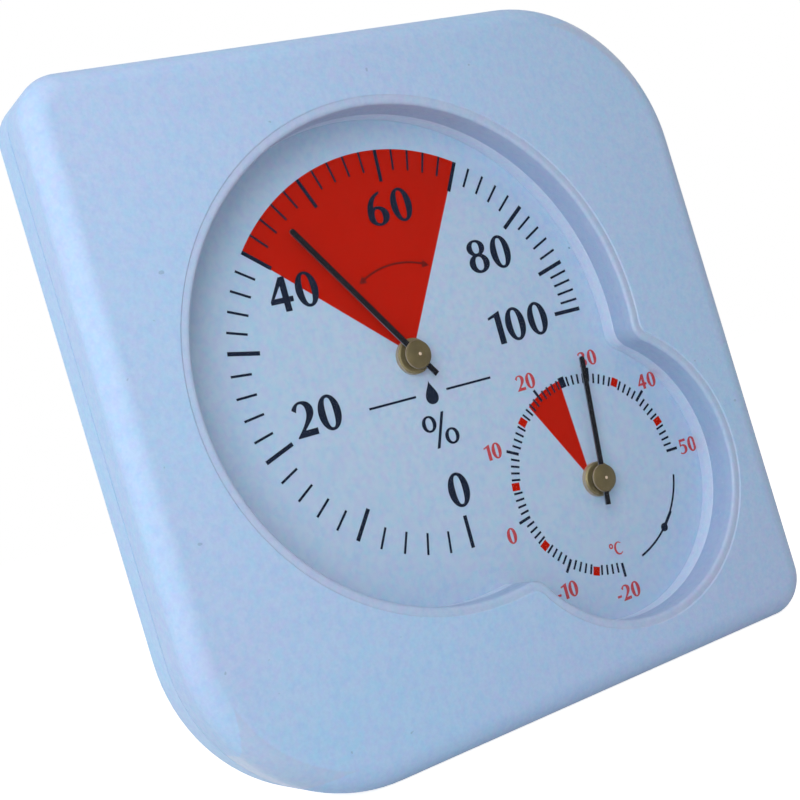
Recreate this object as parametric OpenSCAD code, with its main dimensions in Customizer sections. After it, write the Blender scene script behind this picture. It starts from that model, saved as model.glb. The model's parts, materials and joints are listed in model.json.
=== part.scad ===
// Dial thermo-hygrometer for the wall or the desk.
// Each piece is drawn lying on its back: x to the right, y up the dial, z towards the reader.
// The front of the dial card is z = 0 and the middle of the case is x = 0, y = 0.
// upright() then stands the piece on the flat lower edge of the case, with its front towards -Y.

/* [Case] */
// Width and height of the square case
case_w = 130; // [126:1:160]
// Radius of the upper right and lower left corners
corner_large = 32; // [26:1:40]
// Radius of the upper left and lower right corners
corner_small = 8; // [7:0.5:9]
// Rounding of the front edge
edge_r = 4.5; // [3:0.5:5]
// Height of the front face above the dial
face_z = 9.7; // [9:0.1:13]
// Thickness of the side walls
wall = 2.2; // [1.8:0.1:2.6]
// Thickness of the front wall
front_t = 2.4; // [2:0.1:3]
// Distance of the parting plane behind the dial
part_depth = 0.4; // [0.2:0.1:1]

/* [Dial recess] */
// Offset of the hygrometer's opening from the middle of the case, left and up
hygro_off = 4.5; // [3.5:0.5:5.5]
// Offset of the thermometer's opening from the middle of the case, right and down
thermo_off = 27.7; // [26:0.1:28]
// Distance of both axes to the right of the middle of their openings
axis_right = 1.2; // [0:0.1:1.4]
// Distance of the hygrometer's axis above the middle of its opening
hygro_up = 0.2; // [0:0.1:0.5]
// Distance of the thermometer's axis below the middle of its opening
thermo_down = 0.3; // [0:0.1:0.5]
// Radius of the opening round the hygrometer
hygro_r = 45.6; // [44:0.1:46]
// Radius of the opening round the thermometer
thermo_r = 27.3; // [27:0.1:28]
// Width of the shallow ledge round the opening
ledge_w = 1.6; // [1:0.1:2]
// Depth of the ledge below the face
ledge_d = 0.4; // [0.2:0.1:0.8]
// Thickness of the tube behind the opening
tube_t = 1.8; // [1.5:0.1:2]

/* [Dial plate] */
// Thickness of the printed card
card_t = 0.25; // [0.2:0.05:0.5]
// Thickness of the dial plate
plate_t = 1; // [0.8:0.1:1.2]
// Height of the rim that surrounds the dial
rim_h = 3.4; // [3:0.1:3.6]
// Width of the step from the opening out to the rim
rim_step = 0.9; // [0.5:0.1:1.2]
// Thickness of the rim
rim_t = 1.6; // [1.2:0.1:1.8]
// Distance of the fixing ears beyond the opening
ear_out = 6; // [5.8:0.1:6.5]
// Radius of the fixing ears
ear_r = 3.4; // [3:0.1:3.6]
// Height of the posts that carry the brackets
post_h = 3; // [2.5:0.1:3.2]
// Radius of the posts that carry the brackets
post_r = 2.2; // [2:0.1:2.4]

/* [Lens] */
// Distance of the clear cover's front below the face
lens_in = 2.1; // [1.5:0.1:2.5]
// Thickness of the clear cover
lens_t = 1.2; // [1:0.1:1.4]
// Thickness of the flange of the clear cover
flange_t = 1; // [0.8:0.1:1.2]
// Gap between the clear cover and the opening
lens_gap = 0.2; // [0.1:0.05:0.4]

/* [Pointers] */
// Length of the hygrometer pointer from its axis
hygro_tip = 32.7; // [28:0.1:36]
// Length of the thermometer pointer from its axis
thermo_tip = 24.1; // [20:0.1:24.4]
// Length of the pointer tails
tail = 5.2; // [4:0.1:7]
// Width of the pointers
pointer_w = 1.1; // [1:0.02:1.6]
// Thickness of the pointers
pointer_t = 0.3; // [0.2:0.05:0.4]
// Direction of the hygrometer pointer at rest, in degrees from the right
hygro_rest = 123; // [90:1:150]
// Direction of the thermometer pointer at rest, in degrees from the right
thermo_rest = 82; // [40:1:120]
// Height of the pointers above the dial
pointer_z = 2.1; // [1.8:0.1:2.5]

/* [Hubs] */
// Radius of the bush flange on the dial
bush_r = 3.4; // [3.2:0.05:4]
// Height of the bush flange
bush_h = 1.3; // [1:0.1:1.5]
// Radius of the bush in the plate
stem_r = 2; // [1.6:0.1:2.2]
// Height of the collar behind the plate
collar_h = 0.9; // [0.7:0.1:1]
// Radius of the hub caps
cap_r = 2.7; // [2.4:0.1:3]
// Height of the hub caps
cap_h = 1; // [0.8:0.1:1.4]
// Rise of the dome on the hub caps
cap_dome = 0.4; // [0.2:0.1:0.6]
// Radius of the arbors
arbor_r = 0.75; // [0.6:0.05:0.9]
// Radius of the arbor ends
pivot_r = 0.45; // [0.35:0.05:0.5]
// Running clearance of a shaft in its bore
run_gap = 0.05; // [0.03:0.01:0.08]

/* [Coils and brackets] */
// Outer radius of the hygrometer coil
hygro_coil_r = 10; // [9:0.1:11]
// Outer radius of the thermometer coil
thermo_coil_r = 7.5; // [6:0.1:8]
// Thickness of the coil strip
strip_t = 0.35; // [0.2:0.05:0.5]
// Width of the coil strip
strip_w = 3.6; // [3:0.1:4]
// Radius of the collets
collet_r = 1.5; // [1.3:0.05:1.7]
// Distance between the turns of a coil
coil_pitch = 1.4; // [1.2:0.05:1.8]
// Thickness of the bracket strip
bracket_t = 0.8; // [0.6:0.1:1]
// Width of the bracket strip
bracket_w = 8; // [7:0.5:10]
// Radius of the bearing boss on a bracket
boss_r = 2; // [1.8:0.1:2.3]
// Thickness of the regulators
regulator_t = 0.6; // [0.5:0.05:0.7]
// Width of the regulator arms
arm_w = 2.4; // [2:0.1:3]
// Width of the regulator fingers
finger_w = 2.6; // [2:0.1:3]
// Thickness of the regulator fingers
finger_t = 1.2; // [1:0.1:1.4]
// Room between a coil and the legs of its bracket
leg_room = 2.4; // [2:0.1:3]
// Distance of the bracket screws beyond the legs
foot_l = 3.1; // [3:0.1:3.6]

/* [Rear cover] */
// Depth of the rim that is flush with the case
cover_rim = 6.1; // [5.5:0.1:8]
// Distance from the dial to the back
back_depth = 14.3; // [14.2:0.1:18]
// Width of the step round the raised back
step_w = 6; // [5:0.5:6.5]
// Thickness of the cover
cover_t = 2; // [1.8:0.1:2.2]
// Rounding of the raised back
back_edge = 1.8; // [1:0.1:2]
// Height of the locating lip
lip_h = 2; // [1.5:0.1:2.5]
// Thickness of the locating lip
lip_t = 1.4; // [1:0.1:1.6]
// Clearance of the locating lip in the case
lip_gap = 0.2; // [0.1:0.05:0.3]
// Radius of the hanging hole
hang_r = 4; // [3.5:0.1:5]
// Width of the slot above the hanging hole
hang_slot = 4.2; // [3.5:0.1:5]
// Distance of the hanging hole below the top of the case
hang_in = 22; // [20:0.5:24]
// Length of the vent slots
vent_l = 26; // [20:1:30]
// Number of vent slots
vent_n = 5; // [3:1:5]
// Distance of the vent slots from the holes above and below them
vent_gap = 3; // [2:0.1:4]
// Radius of the holes for the screwdriver
trim_hole_r = 2.4; // [2:0.1:3]

/* [Screws] */
// Radius of the case screws
screw_r = 1.3; // [1.1:0.05:1.4]
// Head radius of the case screws
head_r = 2.6; // [2.3:0.1:2.8]
// Head height of the case screws
head_h = 1.6; // [1.3:0.1:1.8]
// Length of the cover screws below their head
cover_screw_l = 10; // [8:0.5:10.5]
// Length of the dial screws below their head
dial_screw_l = 6; // [5:0.5:6.5]
// Radius of the bracket screws
small_screw_r = 0.95; // [0.8:0.05:1]
// Head radius of the bracket screws
small_head_r = 1.9; // [1.7:0.05:2]
// Head height of the bracket screws
small_head_h = 1.1; // [0.9:0.1:1.2]
// Distance of the cover screws from the sides, near the small corners
screw_small_in = 12; // [11.8:0.1:12.5]
// Distance of the cover screws from the sides, near the large corners
screw_large_in = 21; // [20:0.5:22]
// Radius of the screw bosses in the case
case_boss_r = 3.4; // [3.2:0.1:3.6]
// Thickness of the webs that brace the screw bosses
web_t = 1.2; // [1:0.1:1.6]

/* [Stand] */
// Width of the stand leg
leg_w = 40; // [30:1:42]
// Length of the stand leg from its hinge
leg_l = 56; // [45:0.5:57]
// Thickness of the stand leg
leg_t = 2.2; // [1.8:0.1:2.4]
// Width of the ribs on the stand leg
rib_w = 1.2; // [1:0.1:1.6]
// Height of the ribs on the stand leg
rib_h = 0.5; // [0.3:0.1:0.6]
// Radius of the finger notch at the foot of the stand leg
notch_r = 6; // [5:0.5:7]
// Height of the stand hinge above the middle of the case
hinge_y = -1; // [-4:0.5:0]
// Radius of the hinge pin
pin_r = 0.75; // [0.6:0.05:0.9]
// Radius of the hinge barrel
barrel_r = 1.45; // [1.4:0.05:1.5]
// Depth of the recess for the stand
recess_d = 3.3; // [3.2:0.1:3.5]
// Distance of the folded stand inside the back plane
flush_gap = 0.05; // [0.03:0.01:0.1]
// Play of the stand leg at each side
leg_gap = 0.5; // [0.3:0.1:0.8]
// Thickness of the floor of the recess
tub_t = 1.5; // [1.2:0.1:1.6]
// Length of the hinge pin that is held at each side
pin_hold = 2; // [1.5:0.1:2.5]

/* [Fits] */
// Axial play of the arbors
endshake = 0.1; // [0.05:0.01:0.15]
// Clearance of a screw in its pilot hole
pilot_gap = 0.05; // [0.03:0.01:0.1]
// Clearance of a screw in a through hole
hole_gap = 0.2; // [0.1:0.05:0.3]
// Axial gap between neighbours on an arbor
part_gap = 0.3; // [0.2:0.05:0.4]

/* [Hidden] */
$fn = 72;

// Heights along z
part_z = -part_depth;
face_in_z = face_z - front_t;
lens_z = face_z - lens_in;
tube_z = rim_h + flange_t;
plate_z = -card_t - plate_t;
post_z = plate_z - post_h;
rim_z = part_z - cover_rim;
cover_floor_z = rim_z + cover_t;
back_z = -back_depth;
pin_z = back_z + barrel_r + flush_gap;
leg_z = pin_z - barrel_r + flush_gap;

// Places on the dial
half = case_w / 2;
hygro_at = [-hygro_off, hygro_off];
thermo_at = [thermo_off, -thermo_off];
hygro_axis = hygro_at + [axis_right, hygro_up];
thermo_axis = thermo_at + [axis_right, -thermo_down];
opening_gap = sqrt(2) * (hygro_off + thermo_off);
ear_a = hygro_r + ear_out;
ear_b = thermo_r + ear_out;
ear_x = (opening_gap * opening_gap + ear_a * ear_a - ear_b * ear_b) / (2 * opening_gap);
ear_y = sqrt(ear_a * ear_a - ear_x * ear_x);
// The ears are laid out from the middle of the hygrometer's opening, with x towards the thermometer's
ears = [[-ear_a, 0], [ear_x, ear_y], [ear_x, -ear_y]];
plate_arm_w = 1.7 * ear_r;
flange_out = rim_step + 0.4 * rim_t;
screw_small = half - screw_small_in;
screw_large = half - screw_large_in;
cover_screw_at = [
    [-screw_small, screw_small], [screw_small, -screw_small],
    [screw_large, screw_large], [-screw_large, -screw_large]
];
hang_y = half - hang_in;

// Levels of the two movements, behind the dial plate
collar_z = plate_z - collar_h;
collet_z = collar_z - part_gap;
coil_z = collet_z - part_gap;
coil_end_z = coil_z - strip_w;
collet_end_z = coil_end_z - part_gap;
bracket_z = collet_end_z - 2.5 * part_gap;
bracket_end_z = bracket_z - bracket_t;
regulator_z = bracket_end_z - run_gap;
regulator_end_z = regulator_z - regulator_t;
boss_end_z = regulator_end_z - run_gap;

// Distance of a regulator's slot from its axis
function trim_reach(coil_r) = coil_r * 0.8;

// Vent slots and the gaps between them share the height between the two holes
vent_y = hygro_axis.y + trim_reach(hygro_coil_r) + trim_hole_r + vent_gap;
vent_w = (hang_y - hang_r - vent_gap - vent_y) / (2 * vent_n - 1);

// Radii of the case's corners, counter-clockwise from the upper right, on an outline drawn in by inset
function corner_radii(inset) =
    [for (r = [corner_large, corner_small, corner_large, corner_small]) max(r - inset, 1.2)];

// Stands a piece up: the dial's y becomes Z and its front faces -Y
module upright() {
    translate([0, (face_z - back_depth) / 2, half]) rotate([90, 0, 0]) children();
}

// Square of half width h whose corners have their own radii, counter-clockwise from the upper right
module rounded_square(h, radii) {
    signs = [[1, 1], [-1, 1], [-1, -1], [1, -1]];
    for (i = [0:3])
        translate([signs[i].x * (h - radii[i]), signs[i].y * (h - radii[i])]) circle(r = radii[i]);
    polygon([
        [h, h - radii[0]], [h - radii[0], h], [radii[1] - h, h], [-h, h - radii[1]],
        [-h, radii[2] - h], [radii[2] - h, -h], [h - radii[3], -h], [h, radii[3] - h]
    ]);
}

// Profile of an edge rounded by f. It runs back into the slab by a distance, and down, to join it
module edge_profile(f, back) {
    intersection() {
        circle(r = f, $fn = 48);
        square(f);
    }
    translate([-back, -f / 2]) square([back, f * 1.5]);
    translate([-back, -f / 2]) square([back + f / 2, f]);
}

// Rounded square slab whose upper edge is rounded by f all the way round
module rounded_slab(h, radii, height, f) {
    linear_extrude(height - f) rounded_square(h, radii);
    linear_extrude(height) rounded_square(h - f, [for (r = radii) max(r - f, 0.05)]);
    for (i = [0:3]) rotate(90 * i) {
        r = max(radii[i], f + 0.05);
        translate([h - r, h - r, height - f])
            rotate_extrude(angle = 90) translate([r - f, 0]) edge_profile(f, (r - f) / 2);
        translate([radii[(i + 1) % 4] - h, h - f, height - f]) rotate([90, 0, 90])
            linear_extrude(2 * h - radii[i] - radii[(i + 1) % 4]) edge_profile(f, f);
    }
}

// The two round openings, grown by a distance
module eight(grow) {
    translate(hygro_at) circle(r = hygro_r + grow, $fn = 144);
    translate(thermo_at) circle(r = thermo_r + grow, $fn = 120);
}

module at_ears() {
    translate(hygro_at) rotate(-45) for (p = ears) translate(p) children();
}

// Arms of width w from the round opening out to the ears
module ear_arms(w) {
    translate(hygro_at) rotate(-45) for (p = ears) rotate(atan2(p.y, p.x))
        translate([hygro_r, -w / 2]) square([norm(p) - hygro_r, w]);
}

// Pan head screw, head up, with its seat at z = 0
module pan_screw(r, length, r_head, h_head) {
    difference() {
        union() {
            translate([0, 0, -length]) cylinder(r = r, h = length, $fn = 32);
            rotate_extrude($fn = 48) intersection() {
                translate([0, h_head - r_head * 1.5]) circle(r = r_head * 1.5);
                square([r_head, h_head]);
            }
        }
        for (a = [0, 90]) rotate(a) translate([-r_head * 0.6, -r_head * 0.12, h_head * 0.45])
            cube([r_head * 1.2, r_head * 0.24, h_head]);
    }
}

// Webs from the cover screws' bosses out to the side walls
module boss_webs() {
    intersection() {
        rounded_square(half - wall / 2, corner_radii(wall / 2));
        for (p = cover_screw_at) {
            translate([p.x > 0 ? p.x : -half, p.y - web_t / 2]) square([half - abs(p.x), web_t]);
            translate([p.x - web_t / 2, p.y > 0 ? p.y : -half]) square([web_t, half - abs(p.y)]);
        }
    }
}

module front_housing() {
    color([0.86, 0.88, 0.95]) upright() difference() {
        union() {
            difference() {
                translate([0, 0, part_z]) rounded_slab(half, corner_radii(0), face_z - part_z, edge_r);
                translate([0, 0, part_z - 1]) linear_extrude(face_in_z - part_z + 1)
                    rounded_square(half - wall, corner_radii(wall));
            }
            translate([0, 0, tube_z]) linear_extrude(face_in_z - tube_z) eight(tube_t);
            translate([0, 0, -card_t]) linear_extrude(face_in_z + card_t) at_ears() circle(r = ear_r);
            translate([0, 0, tube_z]) linear_extrude(face_in_z - tube_z) ear_arms(web_t);
            for (p = cover_screw_at) translate([p.x, p.y, cover_floor_z])
                cylinder(r = case_boss_r, h = face_in_z - cover_floor_z);
            translate([0, 0, part_z + lip_h + lip_gap]) linear_extrude(face_in_z - part_z - lip_h - lip_gap)
                boss_webs();
        }
        translate([0, 0, tube_z - 1]) linear_extrude(face_z - tube_z + 2) eight(0);
        translate([0, 0, face_z - ledge_d]) linear_extrude(ledge_d + 1) eight(ledge_w);
        translate([0, 0, -card_t - 1]) linear_extrude(dial_screw_l + 1)
            at_ears() circle(r = screw_r + pilot_gap, $fn = 32);
        for (p = cover_screw_at) translate([p.x, p.y, cover_floor_z - 1])
            cylinder(r = screw_r + pilot_gap, h = cover_screw_l + 1, $fn = 32);
    }
}

// Clear figure-of-eight cup that is pushed into the opening from behind
module lens() {
    color([0.85, 0.92, 0.95, 0.3]) upright() difference() {
        union() {
            translate([0, 0, rim_h]) linear_extrude(flange_t) eight(flange_out);
            translate([0, 0, rim_h]) linear_extrude(lens_z - rim_h) eight(-lens_gap);
        }
        translate([0, 0, rim_h - 1]) linear_extrude(lens_z - lens_t - rim_h + 1)
            eight(-lens_gap - lens_t);
    }
}

// Moulded tray with a low rim, three ears and the posts for both brackets
module dial_plate() {
    pilot_r = small_screw_r + pilot_gap;
    pilot_top = plate_z + 0.4 * plate_t;
    color([0.93, 0.94, 0.98]) upright() difference() {
        union() {
            translate([0, 0, plate_z]) linear_extrude(rim_h - plate_z) eight(rim_step + rim_t);
            translate([0, 0, plate_z]) linear_extrude(plate_t) {
                at_ears() circle(r = ear_r);
                ear_arms(plate_arm_w);
            }
            movement_posts(hygro_axis, 0, hygro_coil_r, post_r, post_z, plate_z);
            movement_posts(thermo_axis, -90, thermo_coil_r, post_r, post_z, plate_z);
        }
        translate([0, 0, -card_t]) linear_extrude(rim_h + card_t + 1) eight(rim_step);
        translate([0, 0, plate_z - 1]) linear_extrude(plate_t + 2) {
            at_ears() circle(r = screw_r + hole_gap, $fn = 32);
            translate(hygro_axis) circle(r = stem_r, $fn = 48);
            translate(thermo_axis) circle(r = stem_r, $fn = 48);
        }
        movement_posts(hygro_axis, 0, hygro_coil_r, pilot_r, post_z - 1, pilot_top);
        movement_posts(thermo_axis, -90, thermo_coil_r, pilot_r, post_z - 1, pilot_top);
    }
}

module movement_posts(at, turn, coil_r, r, z0, z1) {
    translate([at.x, at.y, z0]) rotate(turn) for (s = [-1, 1])
        translate([s * (coil_r + leg_room + foot_l), 0, 0]) cylinder(r = r, h = z1 - z0, $fn = 36);
}

module dial_card() {
    color([0.95, 0.96, 1]) upright() translate([0, 0, -card_t]) linear_extrude(card_t) difference() {
        eight(rim_step - hole_gap);
        translate(hygro_axis) circle(r = stem_r, $fn = 48);
        translate(thermo_axis) circle(r = stem_r, $fn = 48);
    }
}

module dial_screws() {
    color("silver") upright() translate([0, 0, plate_z]) mirror([0, 0, 1]) at_ears()
        pan_screw(screw_r, dial_screw_l, head_r, head_h);
}

module cover_screws() {
    color("silver") upright() for (p = cover_screw_at) translate([p.x, p.y, rim_z]) mirror([0, 0, 1])
        pan_screw(screw_r, cover_screw_l, head_r, head_h);
}

// Box of the stand's recess: grow adds walls and deep adds a floor, run lets it out at the back and foot
module stand_recess(grow, deep, run) {
    w = leg_w + 2 * leg_gap + 2 * grow;
    y0 = step_w - half - run;
    translate([-w / 2, y0, back_z - run])
        cube([w, hinge_y + barrel_r + leg_gap + grow - y0, recess_d + deep + run]);
}

module rear_cover() {
    well_r = head_r * 1.3;
    well_wall = 1.4;
    tub_in = 0.5;
    back_in_z = back_z + cover_t;
    color([0.82, 0.84, 0.9]) upright() difference() {
        union() {
            difference() {
                union() {
                    translate([0, 0, rim_z]) linear_extrude(cover_rim) rounded_square(half, corner_radii(0));
                    translate([0, 0, rim_z]) mirror([0, 0, 1])
                        rounded_slab(half - step_w, corner_radii(step_w), rim_z - back_z, back_edge);
                }
                translate([0, 0, cover_floor_z]) linear_extrude(cover_rim)
                    rounded_square(half - wall, corner_radii(wall));
                translate([0, 0, back_in_z]) linear_extrude(cover_floor_z - back_in_z + 1)
                    rounded_square(half - step_w - cover_t, corner_radii(step_w + cover_t));
            }
            translate([0, 0, cover_floor_z]) linear_extrude(part_z + lip_h - cover_floor_z) difference() {
                rounded_square(half - wall - lip_gap, corner_radii(wall + lip_gap));
                rounded_square(half - wall - lip_gap - lip_t, corner_radii(wall + lip_gap + lip_t));
            }
            for (p = cover_screw_at) translate([p.x, p.y, back_in_z])
                cylinder(r = well_r + well_wall, h = cover_floor_z - back_in_z);
            intersection() {
                stand_recess(pin_hold + leg_gap, tub_t, 0);
                translate([0, 0, back_z + tub_in]) linear_extrude(cover_floor_z - back_z)
                    rounded_square(half - step_w - tub_in, corner_radii(step_w + tub_in));
            }
        }
        stand_recess(0, 0, 1);
        for (p = cover_screw_at) {
            translate([p.x, p.y, back_z - 1]) cylinder(r = well_r, h = rim_z - back_z + 1);
            translate([p.x, p.y, rim_z - 1]) cylinder(r = screw_r + hole_gap, h = cover_t + 2, $fn = 32);
        }
        translate([0, hang_y, back_z - 1]) cylinder(r = hang_r, h = cover_t + 2);
        translate([-hang_slot / 2, hang_y, back_z - 1]) cube([hang_slot, 2 * hang_r, cover_t + 2]);
        translate([0, hang_y + 2 * hang_r, back_z - 1]) cylinder(r = hang_slot / 2, h = cover_t + 2);
        for (i = [0:vent_n - 1]) translate([-vent_l / 2, vent_y + i * 2 * vent_w, back_z - 1])
            cube([vent_l, vent_w, cover_t + 2]);
        translate([hygro_axis.x, hygro_axis.y + trim_reach(hygro_coil_r), back_z - 1])
            cylinder(r = trim_hole_r, h = cover_t + 2, $fn = 36);
        translate([thermo_axis.x + trim_reach(thermo_coil_r), thermo_axis.y, back_z - 1])
            cylinder(r = trim_hole_r, h = cover_t + 2, $fn = 36);
        pin_body(0);
    }
}

// Cylinder of the hinge pin, grown by a clearance
module pin_body(grow) {
    l = leg_w + 2 * leg_gap + 2 * pin_hold;
    translate([-l / 2, hinge_y, pin_z]) rotate([0, 90, 0]) cylinder(r = pin_r + grow, h = l, $fn = 32);
}

module stand_pin() {
    color("silver") upright() pin_body(0);
}

// Fold-out leg with its hinge barrel, two ribs and a finger notch at its foot
module stand_leg() {
    foot_w = leg_w * 0.75;
    end_r = leg_w / 10;
    y0 = hinge_y - leg_l;
    color([0.82, 0.84, 0.9]) upright() difference() {
        union() {
            translate([-leg_w / 2, hinge_y, pin_z]) rotate([0, 90, 0])
                cylinder(r = barrel_r, h = leg_w, $fn = 48);
            translate([0, 0, leg_z]) linear_extrude(leg_t) {
                polygon([[-leg_w / 2, hinge_y], [-foot_w / 2, y0 + end_r], [end_r - foot_w / 2, y0],
                    [foot_w / 2 - end_r, y0], [foot_w / 2, y0 + end_r], [leg_w / 2, hinge_y]]);
                for (s = [-1, 1]) translate([s * (foot_w / 2 - end_r), y0 + end_r]) circle(r = end_r);
            }
            for (s = [-1, 1])
                translate([s * foot_w * 0.3 - rib_w / 2, y0 + notch_r, pin_z - barrel_r + leg_t])
                    cube([rib_w, leg_l - notch_r - barrel_r, rib_h]);
        }
        translate([0, y0 - notch_r / 2, pin_z - leg_t * 2]) cylinder(r = notch_r, h = leg_t * 4);
        pin_body(run_gap);
    }
}

// Turned bush: flange on the card, stem through the plate, collar spread behind it
module bush(at) {
    chamfer = 0.3;
    collar_r = stem_r * 1.3;
    upright() translate([at.x, at.y, 0]) difference() {
        union() {
            cylinder(r = bush_r, h = bush_h - chamfer);
            translate([0, 0, bush_h - chamfer]) cylinder(r1 = bush_r, r2 = bush_r - chamfer, h = chamfer);
            translate([0, 0, plate_z]) cylinder(r = stem_r, h = -plate_z, $fn = 48);
            translate([0, 0, collar_z]) cylinder(r = collar_r, h = collar_h, $fn = 48);
        }
        translate([0, 0, collar_z - 1]) cylinder(r = arbor_r + run_gap, h = bush_h - collar_z + 2, $fn = 32);
    }
}

module arbor(at) {
    upright() translate([at.x, at.y, 0]) {
        translate([0, 0, boss_end_z]) cylinder(r = pivot_r, h = bracket_z + endshake - boss_end_z, $fn = 32);
        translate([0, 0, bracket_z + endshake])
            cylinder(r = arbor_r, h = pointer_z - bracket_z - endshake, $fn = 32);
        translate([0, 0, pointer_z]) cylinder(r = pivot_r, h = pointer_t + cap_h - cap_dome, $fn = 32);
    }
}

// Flat strip pointer with a blunt tip and a pad round its hole
module pointer(at, tip, turn) {
    chamfer = 0.3 * pointer_w;
    upright() translate([at.x, at.y, pointer_z]) rotate(turn) linear_extrude(pointer_t) difference() {
        union() {
            polygon([[-tail, -pointer_w / 2], [tip - chamfer, -pointer_w / 2],
                [tip, chamfer - pointer_w / 2], [tip, pointer_w / 2 - chamfer],
                [tip - chamfer, pointer_w / 2], [-tail, pointer_w / 2]]);
            circle(r = cap_r * 0.7, $fn = 48);
        }
        circle(r = pivot_r, $fn = 32);
    }
}

// Domed brass cap that is pressed on the front end of the arbor
module hub_cap(at) {
    dome_r = (cap_r * cap_r + cap_dome * cap_dome) / (2 * cap_dome);
    upright() translate([at.x, at.y, pointer_z + pointer_t]) difference() {
        union() {
            cylinder(r = cap_r, h = cap_h - cap_dome);
            rotate_extrude() intersection() {
                translate([0, cap_h - dome_r]) circle(r = dome_r, $fn = 144);
                translate([0, cap_h - cap_dome]) square([cap_r, cap_dome]);
            }
        }
        translate([0, 0, -1]) cylinder(r = pivot_r, h = cap_h - cap_dome + 1, $fn = 32);
    }
}

// Slit brass sleeve that grips the arbor and the inner end of the coil
module collet(at) {
    slit_w = 0.4;
    upright() translate([at.x, at.y, collet_end_z]) difference() {
        cylinder(r = collet_r, h = collet_z - collet_end_z, $fn = 48);
        translate([0, 0, -1]) cylinder(r = arbor_r, h = collet_z - collet_end_z + 2, $fn = 32);
        translate([arbor_r * 1.2, -slit_w / 2, -1]) cube([collet_r, slit_w, strip_w + 1]);
    }
}

// Flat spiral strip. Its outer end is a straight tab at the foot of the dial, on the regulator's finger
module coil(at, turn, coil_r) {
    step = 15;
    inner = collet_r + part_gap + strip_t / 2;
    sweep = floor((coil_r - inner) / coil_pitch * 360 / step) * step;
    tab_short = 0.2;
    tab = [finger_w - tab_short, -coil_r];
    function spiral(a, side) = let (r = coil_r - coil_pitch * a / 360 + side * strip_t / 2)
        [r * cos(-90 - a), r * sin(-90 - a)];
    outer_side = [for (a = [0:step:sweep]) spiral(a, 1)];
    inner_side = [for (a = [sweep:-step:0]) spiral(a, -1)];
    upright() translate([at.x, at.y, coil_end_z]) rotate(turn) linear_extrude(strip_w)
        polygon(concat([[tab.x, tab.y + strip_t / 2], [tab.x, tab.y - strip_t / 2]], outer_side, inner_side));
}

// Bent strip over the coil, with the rear bearing in its middle
module bracket(at, turn, coil_r) {
    leg_x = coil_r + leg_room;
    foot_x = leg_x + foot_l + bracket_w / 2;
    upright() translate([at.x, at.y, 0]) rotate(turn) difference() {
        union() {
            intersection() {
                translate([0, bracket_w / 2, 0]) rotate([90, 0, 0]) linear_extrude(bracket_w) polygon([
                    [-foot_x, post_z], [-leg_x, post_z], [-leg_x, bracket_z], [leg_x, bracket_z],
                    [leg_x, post_z], [foot_x, post_z], [foot_x, post_z - bracket_t],
                    [leg_x + bracket_t, post_z - bracket_t], [leg_x + bracket_t, bracket_end_z],
                    [-leg_x - bracket_t, bracket_end_z], [-leg_x - bracket_t, post_z - bracket_t],
                    [-foot_x, post_z - bracket_t]
                ]);
                translate([0, 0, bracket_end_z - 1]) linear_extrude(post_z - bracket_end_z + 2) {
                    square([2 * (foot_x - bracket_w / 2), bracket_w], center = true);
                    for (s = [-1, 1]) translate([s * (foot_x - bracket_w / 2), 0]) circle(r = bracket_w / 2);
                }
            }
            translate([0, 0, boss_end_z]) cylinder(r = boss_r, h = bracket_end_z - boss_end_z, $fn = 48);
        }
        translate([0, 0, boss_end_z - 1])
            cylinder(r = pivot_r + run_gap, h = bracket_z - boss_end_z + 2, $fn = 32);
        for (s = [-1, 1]) translate([s * (leg_x + foot_l), 0, post_z - bracket_t - 1])
            cylinder(r = small_screw_r + hole_gap, h = bracket_t + 2, $fn = 32);
    }
}

module bracket_screws(at, turn, coil_r) {
    upright() translate([at.x, at.y, post_z - bracket_t]) rotate(turn) for (s = [-1, 1])
        translate([s * (coil_r + leg_room + foot_l), 0, 0]) mirror([0, 0, 1])
            pan_screw(small_screw_r, post_h + bracket_t, small_head_r, small_head_h);
}

// Lever on the bearing boss: a finger that holds the coil and a slotted tail for the screwdriver
module regulator(at, turn, coil_r) {
    finger_y = coil_r + strip_t / 2;
    finger_x = -finger_w / 13;
    collar_w = 1.5;
    tail_y = trim_reach(coil_r);
    upright() translate([at.x, at.y, 0]) rotate(turn) difference() {
        union() {
            translate([0, 0, regulator_end_z]) linear_extrude(regulator_t) {
                circle(r = boss_r + collar_w);
                translate([-arm_w / 2, -finger_y - finger_t]) square([arm_w, finger_y + finger_t + tail_y]);
                translate([0, tail_y]) circle(r = arm_w * 0.9, $fn = 48);
                translate([finger_x, -finger_y - finger_t]) square([finger_w, finger_t + 1]);
            }
            translate([finger_x, -finger_y - finger_t, regulator_end_z])
                cube([finger_w, finger_t, coil_z - regulator_end_z]);
        }
        translate([0, 0, regulator_end_z - 1]) cylinder(r = boss_r + run_gap, h = regulator_t + 2, $fn = 48);
        translate([0, tail_y, regulator_end_z - 1]) linear_extrude(regulator_t + 2)
            square([arm_w * 1.2, arm_w / 4], center = true);
    }
}

module hygro_bush() { color("goldenrod") bush(hygro_axis); }
module hygro_arbor() { color("silver") arbor(hygro_axis); }
module hygro_pointer() { color([0.08, 0.08, 0.09]) pointer(hygro_axis, hygro_tip, hygro_rest); }
module hygro_hub_cap() { color("goldenrod") hub_cap(hygro_axis); }
module hygro_collet() { color("goldenrod") collet(hygro_axis); }
module hygro_coil() { color("tan") coil(hygro_axis, 0, hygro_coil_r); }
module hygro_bracket() { color("silver") bracket(hygro_axis, 0, hygro_coil_r); }
module hygro_regulator() { color("goldenrod") regulator(hygro_axis, 0, hygro_coil_r); }
module hygro_bracket_screws() { color("silver") bracket_screws(hygro_axis, 0, hygro_coil_r); }

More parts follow.
